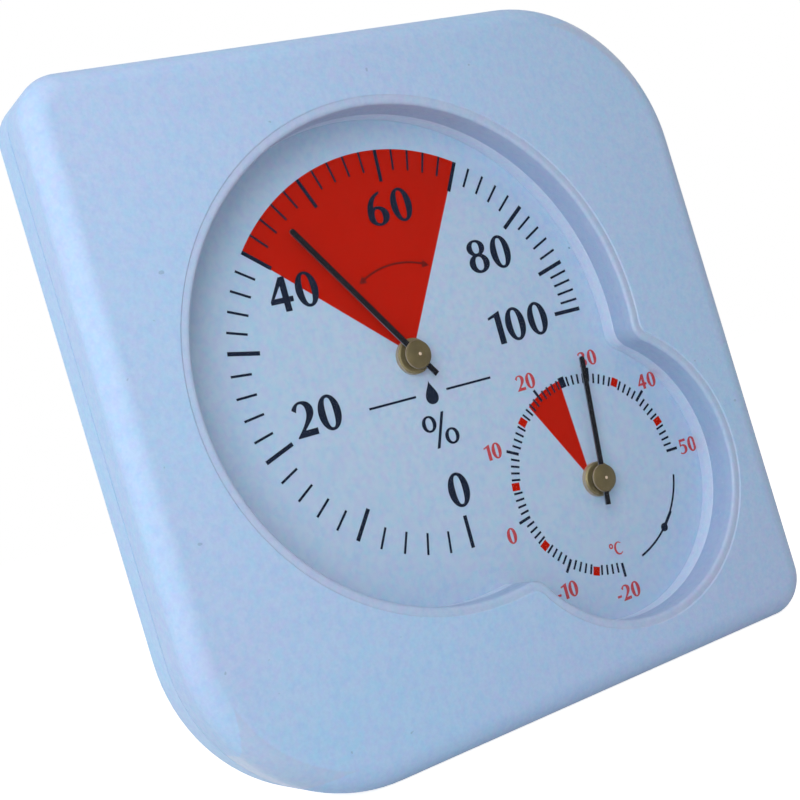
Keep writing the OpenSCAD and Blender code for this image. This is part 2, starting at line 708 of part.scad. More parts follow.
module thermo_bush() { color("goldenrod") bush(thermo_axis); }
module thermo_arbor() { color("silver") arbor(thermo_axis); }
module thermo_pointer() { color([0.08, 0.08, 0.09]) pointer(thermo_axis, thermo_tip, thermo_rest); }
module thermo_hub_cap() { color("goldenrod") hub_cap(thermo_axis); }
module thermo_collet() { color("goldenrod") collet(thermo_axis); }
module thermo_coil() { color("peru") coil(thermo_axis, -90, thermo_coil_r); }
module thermo_bracket() { color("silver") bracket(thermo_axis, -90, thermo_coil_r); }
module thermo_regulator() { color("goldenrod") regulator(thermo_axis, -90, thermo_coil_r); }
module thermo_bracket_screws() { color("silver") bracket_screws(thermo_axis, -90, thermo_coil_r); }

front_housing();
lens();
dial_plate();
dial_card();
dial_screws();
rear_cover();
cover_screws();
stand_leg();
stand_pin();
hygro_bush();
hygro_arbor();
hygro_pointer();
hygro_hub_cap();
hygro_collet();
hygro_coil();
hygro_bracket();
hygro_regulator();
hygro_bracket_screws();
thermo_bush();
thermo_arbor();
thermo_pointer();
thermo_hub_cap();
thermo_collet();
thermo_coil();
thermo_bracket();
thermo_regulator();
thermo_bracket_screws();
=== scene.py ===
import json
import math

import bmesh
import bpy
from mathutils import Matrix, Vector
from mathutils.geometry import delaunay_2d_cdt


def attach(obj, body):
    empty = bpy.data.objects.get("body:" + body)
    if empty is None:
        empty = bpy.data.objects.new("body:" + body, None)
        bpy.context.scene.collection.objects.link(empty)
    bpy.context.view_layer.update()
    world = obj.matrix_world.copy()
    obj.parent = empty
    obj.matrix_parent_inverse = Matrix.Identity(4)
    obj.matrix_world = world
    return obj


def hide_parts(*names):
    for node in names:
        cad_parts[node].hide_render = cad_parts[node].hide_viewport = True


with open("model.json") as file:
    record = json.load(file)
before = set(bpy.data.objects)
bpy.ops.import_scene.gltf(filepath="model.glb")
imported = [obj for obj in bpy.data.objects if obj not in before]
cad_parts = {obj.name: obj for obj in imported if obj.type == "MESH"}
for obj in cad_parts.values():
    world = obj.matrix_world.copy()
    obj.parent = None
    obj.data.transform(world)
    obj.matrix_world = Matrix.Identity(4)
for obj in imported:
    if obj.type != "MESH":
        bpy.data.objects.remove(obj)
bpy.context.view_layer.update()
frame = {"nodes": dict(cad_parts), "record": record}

# Lengths are in millimetres in the dial frame of part.scad until place() turns them
# into the row frame: x to the reader's right, y up the dial, z towards the reader.
HALF = 65.0  # half the width of the case, and half its height
MIDDLE_Y = -2.3  # where z = 0 of the dial frame lies along Y of the row frame
CORNERS = (32.0, 8.0, 32.0, 8.0)  # radii, counter-clockwise from the upper right
LEAST_R = 0.6  # a corner that is drawn in keeps at least this radius
EDGE_R = 4.5  # rounding of the front edge
FACE_Z = 9.7
FACE_IN_Z = 7.3  # inner side of the face
PART_Z = -0.4  # where the housing meets the rear cover
WALL = 2.2
FILLET_W = 0.8  # room for a small rounding beside the wall or the groove
SUPPORT = 0.06  # narrow strip beside a rounding, where its shading ends
HYGRO_AT = Vector((-4.5, 4.5))  # middles of the opening's two circles
THERMO_AT = Vector((27.7, -27.7))
HYGRO_R = 45.6
THERMO_R = 27.3
CUSP_R = 4.2
TUBE_T = 1.8  # wall of the tube behind the opening
LEDGE_W = 1.6
BEAD_AT = 0.85  # from the edge of the opening to the crest of the ledge's bead
BEAD_Z = 9.6
BEAD_FALL = 0.1  # from the crest down to the edge of the opening
GROOVE_FALL = 0.09  # from the crest down to the groove at the face
GROOVE_W = 0.24
SEAT_GAP = 0.04  # between parts that seat on each other
RIM_Z = 3.4  # top of the tray's rim
RIM_FOOT_Z = 0.02
RIM_FROM = 0.05  # the rim's two sides, outward from the opening
RIM_TO = 0.85
LENS_Z = 7.6  # front of the clear plate
LENS_T = 1.2
LENS_EDGE_W = 0.9  # strip along the plate's edge that holds its roundings
HYGRO_AXIS = Vector((-3.3, 4.7))  # where the pointers turn
THERMO_AXIS = Vector((28.9, -28.0))
CAP_R = 2.7
CAP_H = 1.0
CAP_Z = 2.4  # underside of the caps
CROWN = 0.54  # height of the cap's dome, without the pip on it
PIP_R = 0.29
PIP_H = 0.14

CORNER_STEPS = 28
EIGHT_STEPS = (150, 100, 14)  # large circle, small circle, each cusp
LATHE_STEPS = 72
CRISP = math.radians(30)  # edges sharper than this aren't smoothed


def place(x, y, z):
    """A point of the dial frame, in metres in the row frame."""
    return Vector((x, MIDDLE_Y - z, y + HALF)) / 1000


def display(r, g, b):
    """Linear colour of a display colour from 0 to 255."""
    def linear(c):
        c /= 255
        return c / 12.92 if c <= 0.04045 else ((c + 0.055) / 1.055) ** 2.4
    return (linear(r), linear(g), linear(b), 1.0)


def dim(colour, share):
    """The colour at that share of its strength."""
    return tuple(c * share for c in colour[:3]) + (1,)


def make_piece(name, solid, look, body, smooth=True):
    """A solid of the dial frame as a closed mesh that rides on a body."""
    mesh = bpy.data.meshes.new(name)
    mesh.from_pydata([place(*v) for v in solid.verts], [], solid.faces)
    mesh.materials.append(look)
    bm = bmesh.new()
    bm.from_mesh(mesh)
    bmesh.ops.remove_doubles(bm, verts=bm.verts, dist=1e-7)
    bmesh.ops.dissolve_degenerate(bm, edges=bm.edges, dist=1e-8)
    bmesh.ops.recalc_face_normals(bm, faces=bm.faces)
    for edge in bm.edges:
        edge.smooth = edge.is_manifold and edge.calc_face_angle(0) < CRISP
    for face in bm.faces:
        face.smooth = smooth
    bm.to_mesh(mesh)
    bm.free()
    obj = bpy.data.objects.new(name, mesh)
    bpy.context.scene.collection.objects.link(obj)
    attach(obj, body)
    return obj


class Solid:
    """Collects the points and faces of one piece."""

    def __init__(self):
        self.verts = []
        self.faces = []

    def add(self, points):
        start = len(self.verts)
        self.verts += [tuple(p) for p in points]
        return list(range(start, len(self.verts)))

    def bridge(self, ring_a, ring_b):
        n = len(ring_a)
        for i in range(n):
            j = (i + 1) % n
            self.faces.append((ring_a[i], ring_a[j], ring_b[j], ring_b[i]))

    def loft(self, rings):
        """Rings of the same number of points, each joined to the next."""
        made = [self.add(ring) for ring in rings]
        for a, b in zip(made, made[1:]):
            self.bridge(a, b)
        return made

    def fill(self, outer, inner, z):
        """Flat face at height z between two outlines, or inside one if inner is empty."""
        flat = [Vector(p[:2]) for p in outer] + [Vector(p[:2]) for p in inner]
        rings = [list(range(len(outer)))]
        if inner:
            rings.append(list(range(len(outer), len(flat))))
        verts, _, faces, _, _, origin = delaunay_2d_cdt(flat, [], rings, 0, 1e-6, True)
        index = self.add([(v.x, v.y, z) for v in verts])
        for face, came_from in zip(faces, origin):
            if list(came_from) == [0]:
                self.faces.append([index[i] for i in face])


def rounded(points, radii, steps):
    """The open polyline with an arc of the given radius at each inner corner."""
    out = [Vector(points[0])]
    for i in range(1, len(points) - 1):
        p, r = Vector(points[i]), radii[i - 1]
        a = (Vector(points[i - 1]) - p).normalized()
        b = (Vector(points[i + 1]) - p).normalized()
        half = a.angle(b) / 2
        cut = r / math.tan(half)
        centre = p + (a + b).normalized() * (r / math.sin(half))
        first, last = p + a * cut - centre, p + b * cut - centre
        turn = first.angle(last)
        for k in range(steps + 1):
            t = k / steps
            arc = (first * math.sin((1 - t) * turn) + last * math.sin(t * turn)) / math.sin(turn)
            out.append(centre + arc)
    out.append(Vector(points[-1]))
    return out


def square_ring(inset, z):
    """Outline of the case drawn in by inset."""
    ring = []
    for k, ((sx, sy), corner) in enumerate(zip(((1, 1), (-1, 1), (-1, -1), (1, -1)), CORNERS)):
        r = max(corner - inset, LEAST_R)
        c = HALF - inset - r
        for i in range(CORNER_STEPS + 1):
            a = math.radians(90 * (k + i / CORNER_STEPS))
            ring.append((sx * c + r * math.cos(a), sy * c + r * math.sin(a), z))
    return ring


def eight_ring(grow, z):
    """Outline of the opening, grown by a distance, with its two cusps rounded."""
    ra, rb, rho = HYGRO_R + grow, THERMO_R + grow, CUSP_R - grow
    way = THERMO_AT - HYGRO_AT
    d, tilt = way.length, math.atan2(way.y, way.x)
    x = (d * d + (ra + rho) ** 2 - (rb + rho) ** 2) / (2 * d)
    y = math.sqrt((ra + rho) ** 2 - x * x)
    alpha, beta = math.atan2(y, x), math.atan2(y, x - d)

    def arc(centre, r, a0, a1, steps):
        return [
            (centre.x + r * math.cos(a0 + (a1 - a0) * i / steps),
             centre.y + r * math.sin(a0 + (a1 - a0) * i / steps), z)
            for i in range(steps)
        ]

    def cusp_centre(side):
        c, s = math.cos(tilt), math.sin(tilt)
        return HYGRO_AT + Vector((x * c - side * y * s, x * s + side * y * c))

    large, small, cusp = EIGHT_STEPS
    half = math.pi
    return (
        arc(HYGRO_AT, ra, tilt + alpha, tilt + 2 * half - alpha, large)
        + arc(cusp_centre(-1), rho, tilt + half - alpha, tilt + half - beta, cusp)
        + arc(THERMO_AT, rb, tilt - beta, tilt + beta, small)
        + arc(cusp_centre(1), rho, tilt + half + beta, tilt + half + alpha, cusp)
    )


def lathe(centre, profile):
    """Closed turned solid from a profile of (radius, height) that starts and ends on the axis."""
    solid = Solid()
    n = LATHE_STEPS
    rings = []
    for r, z in profile:
        if r == 0:
            rings.append(solid.add([(centre.x, centre.y, z)]))
        else:
            rings.append(solid.add([
                (centre.x + r * math.cos(2 * math.pi * i / n),
                 centre.y + r * math.sin(2 * math.pi * i / n), z) for i in range(n)
            ]))
    for a, b in zip(rings, rings[1:]):
        for i in range(n):
            j = (i + 1) % n
            if len(a) == 1:
                solid.faces.append((a[0], b[j], b[i]))
            elif len(b) == 1:
                solid.faces.append((a[i], a[j], b[0]))
            else:
                solid.faces.append((a[i], a[j], b[j], b[i]))
    return solid


def flat_solid(shapes, z0, z1):
    """Union of the flat shapes, each a convex outline, as one thin solid."""
    flat, rings = [], []
    for shape in shapes:
        area = sum(a[0] * b[1] - b[0] * a[1] for a, b in zip(shape, shape[1:] + shape[:1]))
        ordered = shape if area > 0 else shape[::-1]
        rings.append(list(range(len(flat), len(flat) + len(ordered))))
        flat += [Vector(p) for p in ordered]
    verts, _, faces, _, _, origin = delaunay_2d_cdt(flat, [], rings, 0, 1e-5, True)
    kept = [f for f, came_from in zip(faces, origin) if len(came_from)]
    solid = Solid()
    low = solid.add([(v.x, v.y, z0) for v in verts])
    high = solid.add([(v.x, v.y, z1) for v in verts])
    edges = set()
    for f in kept:
        solid.faces.append([high[i] for i in f])
        solid.faces.append([low[i] for i in reversed(f)])
        edges |= {(a, b) for a, b in zip(f, f[1:] + f[:1])}
    for a, b in edges:
        if (b, a) not in edges:
            solid.faces.append((low[a], low[b], high[b], high[a]))
    used = sorted({i for f in solid.faces for i in f})
    new = {old: i for i, old in enumerate(used)}
    solid.verts = [solid.verts[i] for i in used]
    solid.faces = [[new[i] for i in f] for f in solid.faces]
    return solid


class Nodes:
    """Fills a node tree. An input is named after its socket, or _0, _1 ... after its place."""

    def __init__(self, tree):
        self.tree = tree
        tree.nodes.clear()

    def add(self, kind, **inputs):
        node = self.tree.nodes.new("ShaderNode" + kind)
        self.set(node, inputs)
        return node

    def set(self, node, inputs):
        for key, value in inputs.items():
            socket = node.inputs[int(key[1:])] if key[0] == "_" else node.inputs[key.replace("_", " ")]
            if isinstance(value, bpy.types.NodeSocket):
                self.tree.links.new(value, socket)
            else:
                socket.default_value = value

    def calc(self, operation, a, b=0.0):
        node = self.add("Math", _0=a, _1=b)
        node.operation = operation
        return node.outputs[0]

    def mixed(self, factor, a, b):
        """Shader a where the factor is 0, b where it is 1."""
        return self.add("MixShader", _0=factor, _1=a.outputs[0], _2=b.outputs[0])

    def seen(self):
        """1 for camera, glossy and transmission rays."""
        path = self.add("LightPath").outputs
        direct = self.calc("MAXIMUM", path["Is Camera Ray"], path["Is Glossy Ray"])
        return self.calc("MAXIMUM", direct, path["Is Transmission Ray"])


class Shader(Nodes):
    """Builds one material. Scales of noise are in cells per metre, depths of bumps in metres."""

    def __init__(self, name):
        self.material = bpy.data.materials.new(name)
        self.material.use_nodes = True
        super().__init__(self.material.node_tree)
        self.spot = self.add("TexCoord").outputs["Object"]

    def noise(self, scale, detail=3.0, rough=0.5, vector=None):
        node = self.add("TexNoise", Scale=scale, Detail=detail, Roughness=rough, Vector=vector or self.spot)
        return node.outputs[0]

    def stretch(self, x, y, z):
        return self.add("Mapping", Vector=self.spot, Scale=(x, y, z)).outputs[0]

    def split(self, vector):
        return self.add("SeparateXYZ", Vector=vector).outputs

    def join(self, x, y):
        return self.add("CombineXYZ", X=x, Y=y).outputs[0]

    def span(self, value, low, high, to_low=0.0, to_high=1.0):
        node = self.add("MapRange", _0=value, _1=low, _2=high, _3=to_low, _4=to_high)
        return node.outputs[0]

    def blend(self, factor, a, b, kind="MIX"):
        node = self.tree.nodes.new("ShaderNodeMix")
        node.data_type, node.blend_type = "RGBA", kind
        self.set(node, {"_0": factor, "_6": a, "_7": b})
        return node.outputs[2]

    def tinted(self, colour, scale, depth):
        """Faint clouds of cyan and violet over a colour."""
        cyan = self.span(self.noise(scale, 2, 0.6), 0.4, 0.68)
        violet = self.span(self.noise(scale * 1.13, 2, 0.6, self.stretch(1.1, 0.9, 1)), 0.4, 0.68)
        colour = self.blend(cyan, colour, (1 - 1.6 * depth, 1, 1, 1), "MULTIPLY")
        return self.blend(violet, colour, (1, 1 - depth, 1, 1), "MULTIPLY")

    def bump(self, height, depth, strength=1.0, normal=None):
        node = self.add("Bump", Strength=strength, Distance=depth, Height=height)
        if normal:
            self.set(node, {"Normal": normal})
        return node.outputs[0]

    def facing(self):
        """Y of the normal: close to 1 or -1 on faces towards the reader or the wall."""
        return self.split(self.add("TexCoord").outputs["Normal"])[1]

    def inside_opening(self):
        """1 on the case below its face, inside the outer edge; else 0."""
        x, y, z = self.split(self.spot)
        up = self.calc("ABSOLUTE", self.calc("SUBTRACT", z, HALF / 1000))
        far = self.calc("MAXIMUM", self.calc("ABSOLUTE", x), up)
        edge = place(0, 0, FACE_Z - 0.05).y
        limit = (HALF - EDGE_R - 1) / 1000
        deep = self.span(y, edge - 0.00002, edge + 0.00002)
        near = self.span(far, limit, limit + 0.0002, 1, 0)
        return self.calc("MULTIPLY", deep, near)

    def done(self, shader):
        self.add("OutputMaterial", Surface=shader.outputs[0])
        return self.material

    def principled(self, **inputs):
        return self.done(self.add("BsdfPrincipled", **inputs))


def moulded(name, tone, cool, warm, rough, grain, polished_and_shaded=False):
    """Moulded plastic: cloudy colour, fine grain, faint scuffs and specks.

    With the flag set, the ledge and the wall of the opening are smoother, and painted a little warmer and
    darker as shade in the recess.
    """
    s = Shader(name)
    cloud = s.span(s.noise(28, 4, 0.55), 0.36, 0.64)
    colour = s.blend(cloud, cool, warm)
    colour = s.blend(s.span(s.noise(9, 2), 0.4, 0.6, 0.25, 0.75), colour, tone)
    mottle = s.noise(1600, 2, 0.6)
    colour = s.blend(s.span(mottle, 0.3, 0.7, 0, 0.24), colour, dim(tone, 0.8))
    colour = s.tinted(colour, 640, 0.09)
    specks = s.span(s.noise(700, 0), 0.885, 0.9, 0, 0.5)
    colour = s.blend(specks, colour, dim(tone, 0.5))
    scuffs = s.span(s.noise(70, 5, 0.7, s.stretch(1, 1, 7)), 0.60, 0.72, 0, 0.14)
    shine = s.calc("ADD", s.span(mottle, 0.3, 0.7, rough - 0.05, rough + 0.07), scuffs)
    if polished_and_shaded:
        inside = s.inside_opening()
        # Painted shade: the ledge and the wall of the opening are tinted warmer and darker
        colour = s.blend(inside, colour, (1.02, 0.92, 0.9, 1), "MULTIPLY")
        shine = s.calc("SUBTRACT", shine, s.span(inside, 0, 1, 0, 0.2))
    normal = s.bump(s.noise(2300, 3, 0.6), grain, 0.8)
    normal = s.bump(s.noise(75, 2), 0.00006, 0.5, normal)
    return s.principled(Base_Color=colour, Roughness=shine, Specular_IOR_Level=0.6, Normal=normal)


def paper(name, tone, shade):
    """Coated card: fibres, a faint mottle and a few printed specks."""
    s = Shader(name)
    mottle = s.span(s.noise(900, 4, 0.65), 0.35, 0.65)
    colour = s.blend(mottle, tone, dim(tone, 0.95))
    colour = s.blend(s.span(s.noise(22, 3), 0.35, 0.65), colour, shade)
    colour = s.tinted(colour, 700, 0.1)
    specks = s.span(s.noise(760, 0), 0.9, 0.92, 0, 0.7)
    colour = s.blend(specks, colour, display(70, 84, 110))
    fibre = s.noise(1100, 4, 0.6, s.stretch(1, 1, 0.25))
    return s.principled(
        Base_Color=colour, Roughness=s.span(mottle, 0, 1, 0.6, 0.75), Specular_IOR_Level=0.15,
        Normal=s.bump(fibre, 0.00004, 0.6))


def ink(name, tone, thin):
    """Printed ink: slightly uneven cover over the card."""
    s = Shader(name)
    cover = s.span(s.noise(1500, 3, 0.7), 0.35, 0.7)
    return s.principled(
        Base_Color=s.blend(cover, tone, thin), Roughness=s.span(cover, 0, 1, 0.6, 0.75),
        Specular_IOR_Level=0.05, Normal=s.bump(s.noise(2600, 2), 0.00002, 0.5))


def turned(name, tone, tarnish, highlight, rough, metallic=1.0):
    """Lathe-turned metal: fine rings round each axis, tarnish, and sides and middle painted lighter as
    highlights.
    """
    s = Shader(name)
    x, y, z = s.split(s.spot)
    radii = []
    for axis in (HYGRO_AXIS, THERMO_AXIS):
        middle = place(axis.x, axis.y, 0)
        flat = s.join(s.calc("SUBTRACT", x, middle.x), s.calc("SUBTRACT", z, middle.z))
        length = s.add("VectorMath", _0=flat)
        length.operation = "LENGTH"
        radii.append(length.outputs["Value"])
    nearest = s.calc("MINIMUM", *radii)
    rings = s.noise(5200, 2, 0.6, s.join(nearest, s.calc("ADD", y, 1.0)))
    stain = s.span(s.noise(420, 4, 0.6), 0.38, 0.68)
    colour = s.blend(stain, tone, tarnish)
    colour = s.blend(s.span(rings, 0.3, 0.7, 0, 0.35), colour, dim(tone, 0.6))
    shine = s.calc("ADD", s.span(rings, 0.3, 0.7, rough - 0.06, rough + 0.1), s.span(stain, 0, 1, 0, 0.14))
    # Painted highlights: the turned sides and the pip at the middle take the lighter highlight colour
    side = s.span(s.calc("ABSOLUTE", s.facing()), 0.25, 0.6, 0.7, 0)
    pip = s.span(nearest, PIP_R / 1000, PIP_R / 1000 + 0.00006, 1, 0)
    colour = s.blend(s.calc("MAXIMUM", side, pip), colour, highlight)
    return s.principled(
        Base_Color=colour, Metallic=metallic, Roughness=shine, Normal=s.bump(rings, 0.00002, 0.6))


def rolled(name, tone, stain_tone, rough, grain=(1, 1, 12)):
    """Rolled or plated metal: grain along one direction and cloudy plating."""
    s = Shader(name)
    stain = s.span(s.noise(160, 4, 0.6), 0.35, 0.7)
    brushed = s.noise(900, 4, 0.65, s.stretch(*grain))
    colour = s.blend(stain, tone, stain_tone)
    colour = s.blend(s.span(brushed, 0.3, 0.7, 0, 0.3), colour, dim(tone, 0.7))
    shine = s.calc("ADD", s.span(brushed, 0.3, 0.7, rough - 0.06, rough + 0.1), s.span(stain, 0, 1, 0, 0.1))
    return s.principled(
        Base_Color=colour, Metallic=1.0, Roughness=shine, Normal=s.bump(brushed, 0.00002, 0.5))


def lacquer(name, tone, rubbed):
    """Black lacquer on a stamped strip, rubbed through in specks; its cut edges are bare."""
    s = Shader(name)
    facing = s.facing()
    bare = s.span(s.calc("MULTIPLY", facing, facing), 0.3, 0.5, 1, 0)
    cloud = s.span(s.noise(600, 4, 0.7), 0.4, 0.75)
    specks = s.span(s.noise(2600, 2, 0.8), 0.66, 0.74)
    colour = s.blend(s.span(cloud, 0, 1, 0, 0.5), tone, rubbed)
    colour = s.blend(specks, colour, display(84, 92, 98))
    colour = s.blend(bare, colour, (0.22, 0.25, 0.29, 1))
    return s.principled(
        Base_Color=colour, Roughness=s.span(cloud, 0, 1, 0.4, 0.55), Metallic=s.span(bare, 0, 1, 0, 0.8),
        Specular_IOR_Level=0.1, Normal=s.bump(s.noise(1800, 3), 0.00002, 0.6))


def clear(name):
    """Clear cover: light passes through it, and its skin shines faintly, most where it is seen edge on."""
    s = Shader(name)
    haze = s.noise(140, 4, 0.6)
    wave = s.bump(s.noise(45, 2), 0.00005, 0.4)
    skin = s.add("BsdfGlossy", Color=(0.55, 0.58, 0.63, 1), Roughness=s.span(haze, 0.3, 0.7, 0.03, 0.1),
                 Normal=wave)
    tint = s.blend(s.span(haze, 0.3, 0.7, 0, 1), (0.995, 0.998, 1.0, 1), (0.988, 0.992, 0.997, 1))
    through = s.add("BsdfTransparent", Color=tint)
    edge_on = s.calc("POWER", s.add("LayerWeight", Blend=0.5).outputs["Facing"], 4.0)
    return s.done(s.mixed(s.span(edge_on, 0.0, 1.0, 0.003, 0.06), through, skin))


case_plastic = moulded("case_plastic", display(160, 191, 224), display(154, 193, 226),
                       display(166, 187, 222), 0.6, 0.00003, polished_and_shaded=True)
cover_plastic = moulded("cover_plastic", display(156, 192, 226), display(150, 194, 228),
                        display(162, 188, 224), 0.5, 0.00005)
dial_plastic = moulded("dial_plastic", display(200, 216, 236), display(196, 217, 238),
                       display(203, 214, 236), 0.45, 0.00002)
printed_card = paper("printed_card", display(177, 200, 224), display(171, 198, 223))
ink_black = ink("ink_black", display(20, 28, 46), display(30, 40, 60))
ink_red = ink("ink_red", display(182, 22, 3), display(170, 24, 5))
ink_pale_red = ink("ink_pale_red", display(184, 62, 68), display(178, 84, 94))
ink_on_red = ink("ink_on_red", display(92, 22, 22), display(110, 26, 22))
# Colour of the painted highlights on the sides and pips of the brass
BRASS_HIGHLIGHT = (0.56, 0.45, 0.34, 1)
turned_brass = turned("turned_brass", (0.112, 0.089, 0.034, 1), (0.078, 0.062, 0.026, 1),
                      BRASS_HIGHLIGHT, 0.38, 0.45)
# Lighter copy of the brass for the bushes: painted light against the shade of the caps
lit_bush_brass = turned("lit_bush_brass", (0.215, 0.18, 0.083, 1), (0.15, 0.125, 0.064, 1),
                    BRASS_HIGHLIGHT, 0.38, 0.45)
sheet_brass = rolled("sheet_brass", (0.62, 0.47, 0.2, 1), (0.42, 0.31, 0.14, 1), 0.3)
shaft_steel = turned("shaft_steel", (0.52, 0.52, 0.54, 1), (0.4, 0.4, 0.41, 1),
                     (0.6, 0.6, 0.62, 1), 0.22)
bracket_steel = rolled("bracket_steel", (0.56, 0.56, 0.55, 1), (0.42, 0.43, 0.43, 1), 0.36)
screw_steel = rolled("screw_steel", (0.52, 0.53, 0.55, 1), (0.36, 0.36, 0.36, 1), 0.3, (6, 1, 6))
hygro_strip = rolled("hygro_strip", (0.56, 0.46, 0.31, 1), (0.42, 0.34, 0.24, 1), 0.42)
bimetal_strip = rolled("bimetal_strip", (0.46, 0.38, 0.3, 1), (0.3, 0.24, 0.2, 1), 0.38)
black_pointer = lacquer("black_pointer", display(12, 14, 22), display(30, 32, 38))
clear_plastic = clear("clear_plastic")

BY_SLOT = {
    "case_plastic": case_plastic, "cover_plastic": cover_plastic, "clear_plastic": clear_plastic,
    "dial_plastic": dial_plastic, "printed_card": printed_card, "black_pointer": black_pointer,
    "turned_brass": turned_brass, "sheet_brass": sheet_brass, "shaft_steel": shaft_steel,
    "bracket_steel": bracket_steel, "screw_steel": screw_steel, "hygro_strip": hygro_strip,
    "bimetal_strip": bimetal_strip,
}
# Each CAD piece gets the look of its slot
for part in frame["record"]["subparts"]:
    node = frame["nodes"][part["node"]]
    node.data.materials.clear()
    node.data.materials.append(BY_SLOT[part["material_slot"]])
# The bushes get a lighter copy of the brass than the caps: painted light that makes up for the shade the
# caps cast on them
for name in ("hygro_bush", "thermo_bush"):
    frame["nodes"][name].data.materials[0] = lit_bush_brass


def housing_solid():
    """Case front with its face, its wall and the opening's ledge, wall and tube."""
    solid = Solid()
    outside = rounded([(WALL, PART_Z), (0, PART_Z), (0, FACE_Z), (EDGE_R + SUPPORT, FACE_Z)],
                      [0.25, EDGE_R], 10)
    solid.loft([square_ring(p.x, p.y) for p in outside])
    ceiling = WALL + FILLET_W
    inside = rounded([(WALL, PART_Z), (WALL, FACE_IN_Z), (ceiling, FACE_IN_Z)], [0.6], 4)
    solid.loft([square_ring(p.x, p.y) for p in inside])
    tube_z = RIM_Z + SEAT_GAP
    groove = LEDGE_W + GROOVE_W
    opening = rounded(
        [(TUBE_T, tube_z), (0, tube_z), (0, BEAD_Z - BEAD_FALL), (BEAD_AT, BEAD_Z),
         (LEDGE_W, BEAD_Z - GROOVE_FALL), (groove, FACE_Z), (LEDGE_W + FILLET_W + SUPPORT, FACE_Z)],
        [0.1, 0.7, 1.6, 0.12, 0.24], 6)
    solid.loft([eight_ring(p.x, p.y) for p in opening])
    solid.loft([eight_ring(TUBE_T, tube_z), eight_ring(TUBE_T, FACE_IN_Z)])
    solid.fill(square_ring(EDGE_R + SUPPORT, 0), eight_ring(opening[-1].x, 0), FACE_Z)
    solid.fill(square_ring(ceiling, 0), eight_ring(TUBE_T, 0), FACE_IN_Z)
    return solid


def rim_solid():
    """Inner rim of the tray, flush with the tube and rounded at the cusps."""
    solid = Solid()
    # The section starts and ends on its hidden side
    profile = rounded(
        [(RIM_TO, 0.4), (RIM_TO, RIM_FOOT_Z), (RIM_FROM, RIM_FOOT_Z), (RIM_FROM, RIM_Z),
         (RIM_TO, RIM_Z), (RIM_TO, 0.8)],
        [0.05, 0.05, 0.25, 0.05], 5)
    rings = solid.loft([eight_ring(p.x, p.y) for p in profile])
    solid.bridge(rings[-1], rings[0])
    return solid


def plate_solid():
    """Clear plate of the cover. Its skirt and flange are left out: they are clear too, and
    light that crosses several clear walls in a row loses its way and draws dark lines."""
    solid = Solid()
    edge, back = -SEAT_GAP, LENS_Z - LENS_T
    flat = edge - LENS_EDGE_W
    profile = rounded([(flat, back), (edge, back), (edge, LENS_Z), (flat, LENS_Z)], [0.2, 0.4], 5)
    solid.loft([eight_ring(p.x, p.y) for p in profile])
    for z in (back, LENS_Z):
        solid.fill(eight_ring(flat, 0), [], z)
    return solid


def cap_outline():
    """Half section of a cap: a low dome with a rounded rim and a small pip left by the lathe."""
    top = CAP_H - PIP_H
    rim = top - CROWN
    dome_r = (CAP_R ** 2 + CROWN ** 2) / (2 * CROWN)
    outer, inner, steps = CAP_R - 0.5, PIP_R + 0.1, 14
    foot = rounded([(0, 0), (CAP_R, 0), (CAP_R, rim + 0.02), (outer, rim + 0.18)], [0.06, 0.3], 5)
    dome = [(r, top - dome_r + math.sqrt(dome_r ** 2 - r ** 2))
            for r in (inner + (outer - inner) * i / steps for i in range(steps, -1, -1))]
    sunk = top - 0.03
    pip = [(PIP_R * math.cos(a), sunk + (CAP_H - sunk) * math.sin(a))
           for a in (math.pi / 16 * i for i in range(8))]
    return [(p.x, p.y) for p in foot[:-1]] + dome + pip + [(0, CAP_H)]


shell = make_piece("housing_shell", housing_solid(), case_plastic, "case")
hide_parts("front_housing")
make_piece("dial_rim", rim_solid(), dial_plastic, "case")
cover = make_piece("lens_plate", plate_solid(), clear_plastic, "case")
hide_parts("lens")
for centre, name, body, node in (
        (HYGRO_AXIS, "hygro_cap_turned", "hygro_hand", "hygro_hub_cap"),
        (THERMO_AXIS, "thermo_cap_turned", "thermo_hand", "thermo_hub_cap")):
    turned_cap = lathe(centre, [(r, CAP_Z + z) for r, z in cap_outline()])
    piece = make_piece(name, turned_cap, turned_brass, body)
    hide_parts(node)

# The scales are printed 1.33 degrees askew. Places on them are millimetres from the middle
# of the hygrometer's ring of ticks, with y up the print.
PRINT_AT = Vector((-1.34, 5.81))
PRINT_TURN = math.radians(-1.33)
CARD_TOP = 0.0
INK_T = 0.03
INK_OVER_T = 0.045  # ink that lies on other ink
UNIT = 38.2  # radius of the hygrometer's ring of ticks
ORIGIN = Vector((0, 0))
THERMO_RING = Vector((31.39, -31.98))


def on_print(x, y):
    """A point of the print in the dial frame."""
    c, s = math.cos(PRINT_TURN), math.sin(PRINT_TURN)
    return (PRINT_AT.x + x * c - y * s, PRINT_AT.y + x * s + y * c)


def polar(r, degrees, centre=ORIGIN):
    """The point at distance r from centre, in a direction counter-clockwise from the right."""
    a = math.radians(degrees)
    return Vector((centre.x + r * math.cos(a), centre.y + r * math.sin(a)))


def arc_line(r, start, end, steps, centre=ORIGIN):
    """Points along an arc between two directions in degrees."""
    return [polar(r, start + (end - start) * i / steps, centre) for i in range(steps + 1)]


def tick(degrees, kind, centre=ORIGIN):
    """A bar that points to centre; kind is its inner end, its outer end and its width."""
    inner, outer, width = kind
    along = polar(1, degrees)
    side = Vector((-along.y, along.x)) * width / 2
    a, b = centre + along * (inner * UNIT), centre + along * (outer * UNIT)
    return [a - side, b - side, b + side, a + side]


def sector(apex, line):
    """Triangles from apex to each piece of a line."""
    return [[apex, a, b] for a, b in zip(line, line[1:])]


